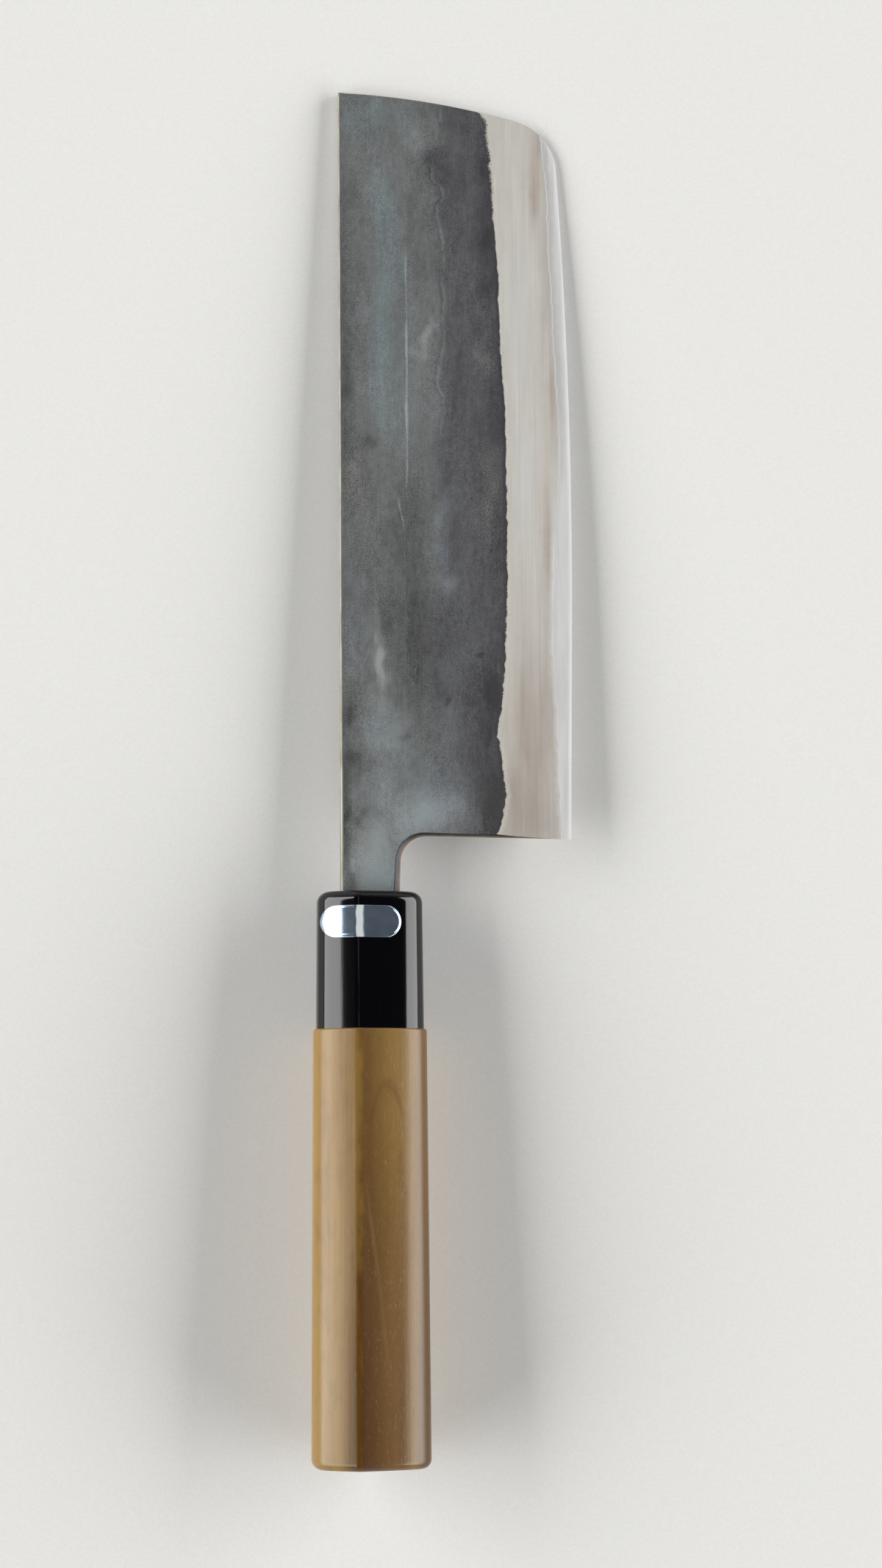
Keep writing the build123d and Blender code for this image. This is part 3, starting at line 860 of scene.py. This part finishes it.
def filed_finish():
    """Iron filed bare, with fine cross lines: dull along the spine, with a painted highlight on the tip's
    edge. Inside the neck and heel it is left dark grey, and browned towards the core."""
    material, point = start_finish("filed_iron")
    across, along, up = point.axes()
    lines_across = point.lumps((3.0, 0.25, 3.0), 15, 3.0, 0.6)
    browning = point.lumps((2.0, 7.0, 2.0), 16, 3.0)
    depth = up.size() + (browning - 0.5) * 0.6
    neck = depth.rise(0.4, 1.3).tint(chart(142, 116, 94), chart(50, 55, 60))
    colour = browning.rise(0.35, 0.75).tint(chart(150, 147, 136), chart(122, 115, 101)).under(
        # A painted highlight on the tip's filed edge.
        (along.rise(150, 160) * across.rise(-5.4, -4.6) * 0.8, chart(214, 212, 204)),
        ((1 - along.rise(12.9, 13.6)) * across.rise(-3, -1), neck),
    )
    return end_finish(material, lines_across * 0.004, colour, 0.42 + lines_across * 0.12, 0.5)


filed = filed_finish()
for side, sign in (("right", 1), ("left", -1)):
    levels = cladding_points(side)
    for level in levels:
        level[..., 2] *= sign
    points, faces, kinds = layer_mesh(levels[0], levels[1:-1], levels[-1], core_column)
    piece = make_piece(
        f"cladding_skin_{side}", points, faces, [forged_finish(side), filed], f"cladding_{side}",
        kinds
    )
    mark_sharp(piece.data, side)
    x, y, _ = mesh_points(piece.data).T
    add_measures(piece, "ground", x - line_x(side, "bevel", y), x - line_x(side, "core", y))
    sway = 0 if side == "right" else waver(y, hidden_sway, hidden_sway_lengths, 71)
    contour_x, scratch_x, scratch_half = (
        np.interp(y, line[:, 0], line[:, k]) for line, k in ((contour, 1), (scratch, 1), (scratch, 2))
    )
    add_measures(piece, "marks", x - sway - contour_x, x - sway - scratch_x, scratch_half - scratch_trim)
    add_measures(piece, "patina", *patina(side, x, y).T)


# Tang bedding: dark resin poured round the tang, seen only as a thin line where the neck enters the
# horn. It stays the frame's own solid.
def resin_finish():
    """Pine resin and soot: brown-black, smooth, with small dull patches."""
    material, point = start_finish("tang_resin")
    dull = point.lumps((1.2, 1.2, 1.2), 21, 3.0)
    colour = dull.rise(0.35, 0.7).tint(chart(30, 23, 18), chart(52, 40, 30))
    return end_finish(material, dull * 0.02, colour, 0.35 + dull * 0.3, 0.0)


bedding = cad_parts["tang_bedding"]
bedding.data.materials.clear()
bedding.data.materials.append(resin_finish())


# Ferrule: black buffalo horn, shaped with the handle and driven over the tenon. Its mouth is
# rounded, a slot clears the neck, and it is polished to a gloss.
ridge_x = -2.9
ridge_easing = 1.0
ferrule_length = 29.4
ferrule_front = (22.7, 9.4, 8.1)
ferrule_rear = (23.2, 9.8, 8.5)
mouth_round = 2.4
slot_half_width = 6.7
slot_half_height = 2.1
slot_centre_x = spine_x + neck_width / 2
slot_easing = 0.25
bore_radius = 6.85
joint_y = -ferrule_length
spine_wall_share = 0.53
edge_wall_share = 0.47
facet_rise_share = 0.57
facet_reach_share = 0.95
oval_share = 0.56
crowding = 1.5
quarter_points = 44
ridge_points = 9
barrel_rings = 36
mouth_rings = 15


def bezier(controls, share):
    """Cubic Bezier: each control point weighed by its Bernstein share."""
    a, b, c, d = (np.array(point, float) for point in controls)
    t = share[:, None]
    return a * (1 - t) ** 3 + 3 * b * t * (1 - t) ** 2 + 3 * c * t**2 * (1 - t) + d * t**3


def handle_outline(width, ridge, depth):
    """Chestnut outline, as X and Z: two swelling facets that meet in an eased ridge, over an oval."""
    half = width / 2
    left, right = half + ridge_x, half - ridge_x
    crest = (ridge_x, ridge)
    rise = ridge * facet_rise_share
    from_wall = (ridge_x - left * facet_reach_share, rise)
    to_wall = (ridge_x + right * facet_reach_share, rise)
    spine_facet = ((-half, 0), (-half, ridge * spine_wall_share), from_wall, crest)
    edge_facet = (crest, to_wall, (half, ridge * edge_wall_share), (half, 0))
    leave = 1 - ridge_easing / (3 * math.dist(crest, spine_facet[2]))
    meet = ridge_easing / (3 * math.dist(crest, edge_facet[1]))
    spread = np.linspace(0, 1, quarter_points, endpoint=False)
    spine_part = bezier(spine_facet, leave * (1 - (1 - spread) ** crowding))
    edge_part = bezier(edge_facet, meet + (1 - meet) * spread**crowding)
    start, end = bezier(spine_facet, np.array([leave]))[0], edge_part[0]
    t = np.linspace(0, 1, ridge_points, endpoint=False)[:, None]
    ease = start * (1 - t) ** 2 + 2 * np.array(crest) * t * (1 - t) + end * t**2
    side, low = half * oval_share, -depth * oval_share
    oval_right = bezier(((half, 0), (half, low), (side, -depth), (0, -depth)), spread)
    oval_left = bezier(((0, -depth), (-side, -depth), (-half, low), (-half, 0)), spread)
    return np.concatenate([spine_part, ease, edge_part, oval_right, oval_left])


def handle_ring(y, size, inset=0.0):
    """The outline at y, drawn in all round by an inset."""
    width, ridge, depth = size
    outline = handle_outline(width - 2 * inset, ridge - inset, depth - inset)
    return np.stack([outline[:, 0], np.full(len(outline), y), outline[:, 1]], axis=-1)


def size_between(front, rear, share):
    return tuple(a + (b - a) * share for a, b in zip(front, rear))


def ferrule_size(y):
    return size_between(ferrule_front, ferrule_rear, -y / ferrule_length)


def rounded_end(size_at, end_y, radius, degrees):
    """Rings over an end rounded by a quarter circle: each stands back by the radius times one less the
    sine, and is drawn in by it times one less the cosine. A negative radius rounds an end facing -Y."""
    ys = [end_y - radius * (1 - math.sin(turn)) for turn in np.radians(degrees)]
    insets = [abs(radius) * (1 - math.cos(turn)) for turn in np.radians(degrees)]
    return [handle_ring(y, size_at(y), inset) for y, inset in zip(ys, insets)]


def round_ring(ring, y, radius):
    """A circle on the handle's axis, its points at the same angles as the ring's."""
    turn = np.arctan2(ring[:, 2], ring[:, 0])
    return np.stack([radius * np.cos(turn), np.full(len(ring), y), radius * np.sin(turn)], axis=-1)


def square_ring(ring, y, centre_x, half_width, half_height):
    """A rectangle: each of the ring's angles meets its nearer side, and four points take its corners."""
    turn = np.arctan2(ring[:, 2], ring[:, 0])
    reach = 1 / np.maximum(np.abs(np.cos(turn)) / half_width, np.abs(np.sin(turn)) / half_height)
    flat = np.stack([reach * np.cos(turn), reach * np.sin(turn)], axis=-1)
    for corner in ((1, 1), (1, -1), (-1, 1), (-1, -1)):
        target = np.array(corner) * (half_width, half_height)
        flat[np.argmin(np.linalg.norm(flat - target, axis=1))] = target
    return np.stack([centre_x + flat[:, 0], np.full(len(ring), y), flat[:, 1]], axis=-1)


def ring_mesh(rings_xyz, closed):
    """Quads from ring to ring; a ring drawn to one point closes an end, or the last joins the first."""
    count, around = len(rings_xyz), len(rings_xyz[0])
    number = np.arange(count * around).reshape(count, around)
    if closed:
        number = np.concatenate([number, number[:1]])
    a, b = number[:-1], number[1:]
    faces = np.stack([a, np.roll(a, -1, axis=1), np.roll(b, -1, axis=1), b], axis=-1)
    return np.concatenate(rings_xyz), faces.reshape(-1, 4)


def between(first, second, count):
    """Rings spaced evenly between two others, without them."""
    return [first + (second - first) * k / (count + 1) for k in range(1, count + 1)]


def ferrule_rings():
    """Barrel, rounded mouth, mouth face, slot, step and bore, in the order that a finger would follow."""
    found = [handle_ring(y, ferrule_size(y)) for y in np.linspace(joint_y, -mouth_round, barrel_rings)]
    found += rounded_end(ferrule_size, 0.0, mouth_round, np.linspace(0, 90, mouth_rings)[1:])
    slot = np.array((slot_centre_x, slot_half_width, slot_half_height))
    lip = square_ring(found[-1], 0.0, *(slot + (0.0, slot_easing, slot_easing)))
    found += [*between(found[-1], lip, 5), lip, square_ring(lip, -slot_easing, *slot)]
    found += [square_ring(lip, shoulder_y, *slot), round_ring(lip, shoulder_y, bore_radius)]
    return [*found, round_ring(lip, joint_y, bore_radius)]


def horn_finish():
    """Polished horn: near black, with faint grey-brown growth streaks along it and a painted highlight on the
    ridge.
    """
    material, point = start_finish("buffalo_horn")
    streaks = point.lumps((0.9, 24, 0.9), 31, 4.0, 0.6)
    fine = point.lumps((0.3, 3, 0.3), 32, 2.0)
    # A lighter grey along the ridge, in streaks: a painted highlight of the eased ridge.
    ridge_highlight = 1 - (point.axis(0) - ridge_x).size().rise(0.05, 0.22)
    colour = streaks.rise(0.55, 0.85).tint(chart(1, 1, 2), chart(12, 11, 11))
    colour = colour.under((ridge_highlight * streaks.rise(0.4, 0.6), chart(38, 38, 40)))
    rough = 0.07 + (fine - 0.5) * 0.04
    return end_finish(material, streaks * 0.003, colour, rough, 0.0, Specular_IOR_Level=0.44)


points, faces = ring_mesh(ferrule_rings(), True)
make_piece("horn_ferrule_polished", points, faces, [horn_finish()], "horn_ferrule", crease=35)


# Grip: magnolia wood, light and close-grained, planed to the same chestnut outline and only lightly
# oiled. It stands a little proud of the horn, and its tenon and burned tang hole are inside.
grip_length = 92.9
shoulder_step = 0.6
shoulder_easing = 0.5
grip_rear = (25.49, 11.09, 9.698)
butt_round = 2.0
tenon_radius = 6.75
hole_half_sizes = ((5.1, 2.2), (2.85, 1.6))
hole_end_y = -91.0
butt_face_shares = (0.0, 0.15, 0.35, 0.55, 0.75, 0.9)
butt_rings = 13
grip_barrel_rings = 60
shoulder_rings = 6
butt_y = joint_y - grip_length
grip_front = (
    ferrule_rear[0] + 2 * shoulder_step, ferrule_rear[1] + shoulder_step, ferrule_rear[2] + shoulder_step
)


def grip_size(y):
    return size_between(grip_front, grip_rear, (joint_y - y) / grip_length)


def grip_rings():
    """Butt face from its middle, rounded edge, barrel, eased shoulder, tenon and the hole inside."""
    rim = handle_ring(butt_y, grip_size(butt_y), butt_round)
    middle = np.array([0.0, butt_y, 0.0])
    found = [middle + (rim - middle) * share for share in butt_face_shares]
    found += rounded_end(grip_size, butt_y, -butt_round, np.linspace(90, 0, butt_rings))
    barrel = np.linspace(butt_y + butt_round, joint_y - shoulder_easing, grip_barrel_rings)[1:]
    found += [handle_ring(y, grip_size(y)) for y in barrel]
    found += rounded_end(grip_size, joint_y, shoulder_easing, np.linspace(0, 90, shoulder_rings)[1:])
    rim = found[-1]
    found += [round_ring(rim, y, tenon_radius) for y in (joint_y, shoulder_y)]
    found += [square_ring(rim, y, 0.0, *half) for y, half in zip((shoulder_y, hole_end_y), hole_half_sizes)]
    return [*found, np.zeros_like(rim) + (0.0, hole_end_y, 0.0)]


def wood_finish():
    """Magnolia: fine straight grain with pores and soft growth bands, a dark band past the ridge that is
    partly figure and partly painted shade, a light vein and a dark arch. Painted shade darkens both sides
    of the ridge and the rim."""
    material, point = start_finish("magnolia_wood")
    across, along, up = point.axes()
    sway = point.lumps((14, 60, 14), 41, 2.0) - 0.5
    grain = point.lumps((0.45, 26, 0.45), 42, 4.0, 0.6)
    bands = point.lumps((4.5, 90, 4.5), 43, 2.0)
    pores = point.lumps((0.14, 1.8, 0.14), 44, 2.0, 0.6)
    blotch = point.lumps((2.4, 6, 2.4), 45, 3.0, 0.6) - 0.5

    # The dark band past the ridge is partly figure in the wood and partly painted shade on that facet.
    figure = across + sway * 3 + blotch * 2.5
    dark = figure.rise(-3.6, -2.0) * (1 - figure.rise(-2, 6))
    drift = across + sway * 2 + blotch * 0.8
    vein = 1 - (drift + along * 0.133 + 9.9).size().rise(0.05, 0.7)
    vein = vein * along.rise(-112, -96) * (1 - along.rise(-72, -58))
    arch = ((drift - 3) * (drift - 3) / 12 + (along + 53) * (along + 53) / 140) ** 0.5
    arch = (1 - (arch - 1).size().rise(0.02, 0.16)) * along.rise(-52, -46)
    aft = 1 - along.rise(-120, -35)
    # Masks for painted shade on both sides of the ridge and on the rim of the edge side's upper half.
    before_ridge_shaded = across.rise(-8, -3.4) * (1 - across.rise(-3.2, -2.0))
    past_ridge_shaded = across.rise(-3.2, -1.8) * (1 - across.rise(6, 10))
    rim = across.rise(8, 11.5) * up.rise(-2, 2)
    colour = bands.rise(0.35, 0.68).tint(chart(151, 120, 63), chart(136, 104, 51)).under(
        (blotch.rise(-0.02, 0.2) * 0.22, chart(102, 72, 32)),
        (grain.rise(0.45, 0.75) * 0.22, chart(108, 78, 40)),
        # Dark band past the ridge: partly figure, partly painted shade.
        (dark * (0.48 + (1 - along.rise(-118, -30)) * 0.4), chart(62, 36, 18)),
        (vein * 0.3, chart(160, 130, 84)),
        (arch * 0.3, chart(92, 62, 24)),
        (aft * 0.18, chart(84, 56, 20)),
        # Painted shade on both sides of the ridge and on the rim.
        (before_ridge_shaded * (aft * 0.6 + 0.3), chart(80, 51, 10)),
        (past_ridge_shaded * (aft * 0.32 + 0.3), chart(86, 56, 32)),
        (rim * (aft * 0.2 + 0.75), chart(74, 46, 12)),
        (pores.rise(0.62, 0.8) * 0.25, chart(84, 56, 28)),
    )
    height = grain * 0.01 - pores.rise(0.6, 0.8) * 0.008
    roughness = 0.29 + (grain - 0.5) * 0.14 - (before_ridge_shaded + past_ridge_shaded) * 0.09
    return end_finish(material, height, colour, roughness, 0.0, Specular_IOR_Level=0.42)


points, faces = ring_mesh(grip_rings(), False)
make_piece("magnolia_grip", points, faces, [wood_finish()], "wooden_grip", crease=35)


# Label: a thin silver foil with round ends, pressed over the ridge of the ferrule, bare inside a
# raised border.
label_half_length = 8.6
label_half_width = 3.4
label_centre = np.array([-2.2, -3.3 - label_half_width])
foil_depths = (0.0, 0.03, 0.08, 0.2, 0.32, 0.4, 0.5, 0.6, 0.68, 0.8, 1.1, 1.5, 1.9, 2.3, 2.7, 3.05, 3.4)
foil_lifts = (0.03, 0.075, *[0.09] * 3, 0.11, 0.118, 0.11, *[0.09] * 9)
foil_sink = 0.02


def stadium(inset, count=120):
    """A strip with round ends, drawn in by an inset: two half circles joined by straight runs."""
    radius = label_half_width - inset
    run = label_half_length - label_half_width
    turn = np.linspace(-math.pi / 2, math.pi / 2, count)
    end = np.stack([run + radius * np.cos(turn), radius * np.sin(turn)], axis=-1)
    straight = np.linspace(1, -1, count)[1:-1, None] * np.array([[run, 0.0]]) + np.array([[0.0, radius]])
    half = np.concatenate([end, straight])
    return label_centre + np.concatenate([half, -half])


def on_ferrule(xy, lift):
    """Points over the ferrule's upper half: its outline's height and slope at X, lifted square to it."""
    found = []
    for end in (ferrule_front, ferrule_rear):
        outline = handle_outline(*end)
        upper = outline[: 2 * quarter_points + ridge_points]
        height = np.interp(xy[:, 0], upper[:, 0], upper[:, 1])
        slope = np.interp(xy[:, 0], upper[:, 0], np.gradient(upper[:, 1], upper[:, 0]))
        found.append(np.stack([height, slope]))
    share = -xy[:, 1] / ferrule_length
    height, slope = found[0] * (1 - share) + found[1] * share
    steep = np.sqrt(1 + slope**2)
    return np.stack([xy[:, 0] - lift * slope / steep, xy[:, 1], height + lift / steep], axis=-1)


def foil_finish():
    """Silver foil: bright and cool, with a fine pressed tooth; dull along the ridge, with a painted white
    highlight.
    """
    material, point = start_finish("silver_foil")
    tooth = point.lumps((0.12, 0.12, 0.12), 51, 2.0, 0.6)
    cloud = point.lumps((2.5, 2.5, 2.5), 52, 2.0)
    across = point.axis(0) + (cloud - 0.5) * 0.6
    # The band along the ridge is duller and painted pale: a painted highlight of the ridge.
    ridge = across.rise(-3.5, -3.1) * (1 - across.rise(-2.3, -1.4))
    colour = cloud.rise(0.35, 0.65).tint(chart(170, 190, 212), chart(188, 206, 224))
    colour = colour.under((ridge, chart(214, 217, 218)))
    rough = 0.065 + (tooth - 0.5) * 0.03 + ridge * 0.4
    return end_finish(material, tooth * 0.001, colour, rough, 0.92 - ridge * 0.7)


over = [on_ferrule(stadium(depth), lift) for depth, lift in zip(foil_depths, foil_lifts)]
under = [on_ferrule(stadium(depth), -foil_sink) for depth in foil_depths]
points, faces = ring_mesh([*under[::-1], *over], False)
make_piece("foil_label_pressed", points, faces, [foil_finish()], "foil_label", crease=50)


# Floor: a plain pale surface. The knife rests on it at two places, the shoulder of the grip and the
# curve of the tip, so the floor is tilted a little against the frame and touches the lowest point.
floor_up = Vector((-0.0215, -0.0396, 0.999)).normalized()
floor_half = 6.0
lowest = min(
    float(((mesh_points(piece.data) * mm + mouth) @ np.array(floor_up)).min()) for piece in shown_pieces()
)
across_floor = floor_up.cross(Vector((0, 1, 0))).normalized()
along_floor = floor_up.cross(across_floor)
corners = [
    floor_up * lowest + (across_floor * a + along_floor * b) * floor_half
    for a, b in ((-1, -1), (1, -1), (1, 1), (-1, 1))
]
floor_mesh = bpy.data.meshes.new("floor")
floor_mesh.from_pydata(corners, [], [(0, 1, 2, 3)])
if floor_mesh.polygons[0].normal.dot(floor_up) < 0:
    floor_mesh.flip_normals()
floor = bpy.data.objects.new("floor", floor_mesh)
bpy.context.scene.collection.objects.link(floor)
floor_material, floor_point = start_finish("pale_floor")
paper = floor_point.lumps((0.6, 0.6, 0.6), 61, 3.0)
floor_colour = paper.rise(0.3, 0.7).tint(chart(226, 225, 221), chart(230, 229, 226))
floor_mesh.materials.append(end_finish(floor_material, paper * 0.01, floor_colour, 0.85, 0.0))
floor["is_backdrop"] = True


# Light: two large soft boxes, low on the left and on the right, and a dim sky that is pale at its rim.
# Each box spans two heights in degrees above the floor, seen from the knife, and faces it.
box_length = 11.4
box_low, box_high = 6, 36
box_distance = 7.0
box_strength = 6.6
box_middle = math.radians((box_low + box_high) / 2)
box_tall = 2 * box_distance * math.tan(math.radians(box_high - box_low) / 2)
for name, side in (("soft_box_left", -1), ("soft_box_right", 1)):
    light = bpy.data.lights.new(name, "AREA")
    light.shape = "RECTANGLE"
    light.size = box_length
    light.size_y = box_tall
    light.energy = box_strength * math.pi * box_length * box_tall
    box = bpy.data.objects.new(name, light)
    centre = box_distance * Vector((side * math.cos(box_middle), 0.0, math.sin(box_middle)))
    box.location = centre
    box.rotation_euler = (-centre).to_track_quat("-Z", "Y").to_euler()
    box.visible_camera = False
    bpy.context.scene.collection.objects.link(box)
sky = bpy.data.worlds.new("sky")
sky.use_nodes = True
sky.node_tree.nodes.clear()
canvas = Field(sky.node_tree)
direction = canvas.node("ShaderNodeTexCoord", {}, {}, 0)
steepness = direction.axis(2).size()
sky_colour = steepness.rise(0.05, 0.6).tint(chart(215, 214, 212), chart(66, 68, 71))
background = canvas.node("ShaderNodeBackground", {}, {"Color": sky_colour, "Strength": 1.0})
canvas.node("ShaderNodeOutputWorld", {}, {"Surface": background})
bpy.context.scene.world = sky


# Camera: nearly straight above, with the butt a little nearer and the edge a little lower, as
# photographed. Its place is fitted to the photograph's height, in pixels.
photo_height = 2133
focal_pixels = 4998.4
sensor = 36.0
camera_turn = Euler((math.radians(-5.9), math.radians(4.5), math.radians(-0.13)), "XYZ")
aim = Vector((11.92, 25.63, 0.0))
back_off = Vector((3.705, -2.106, 794.7))
lens = bpy.data.cameras.new("camera")
lens.sensor_width = sensor
lens.lens = focal_pixels / photo_height * sensor
lens.clip_start = 0.05
lens.clip_end = 50.0
camera = bpy.data.objects.new("camera", lens)
turn = camera_turn.to_matrix().transposed()
camera.rotation_euler = turn.to_euler()
camera.location = Vector(mouth) + (aim + turn @ back_off) * mm
bpy.context.scene.collection.objects.link(camera)
bpy.context.scene.camera = camera
bpy.context.scene.view_settings.view_transform = "Standard"
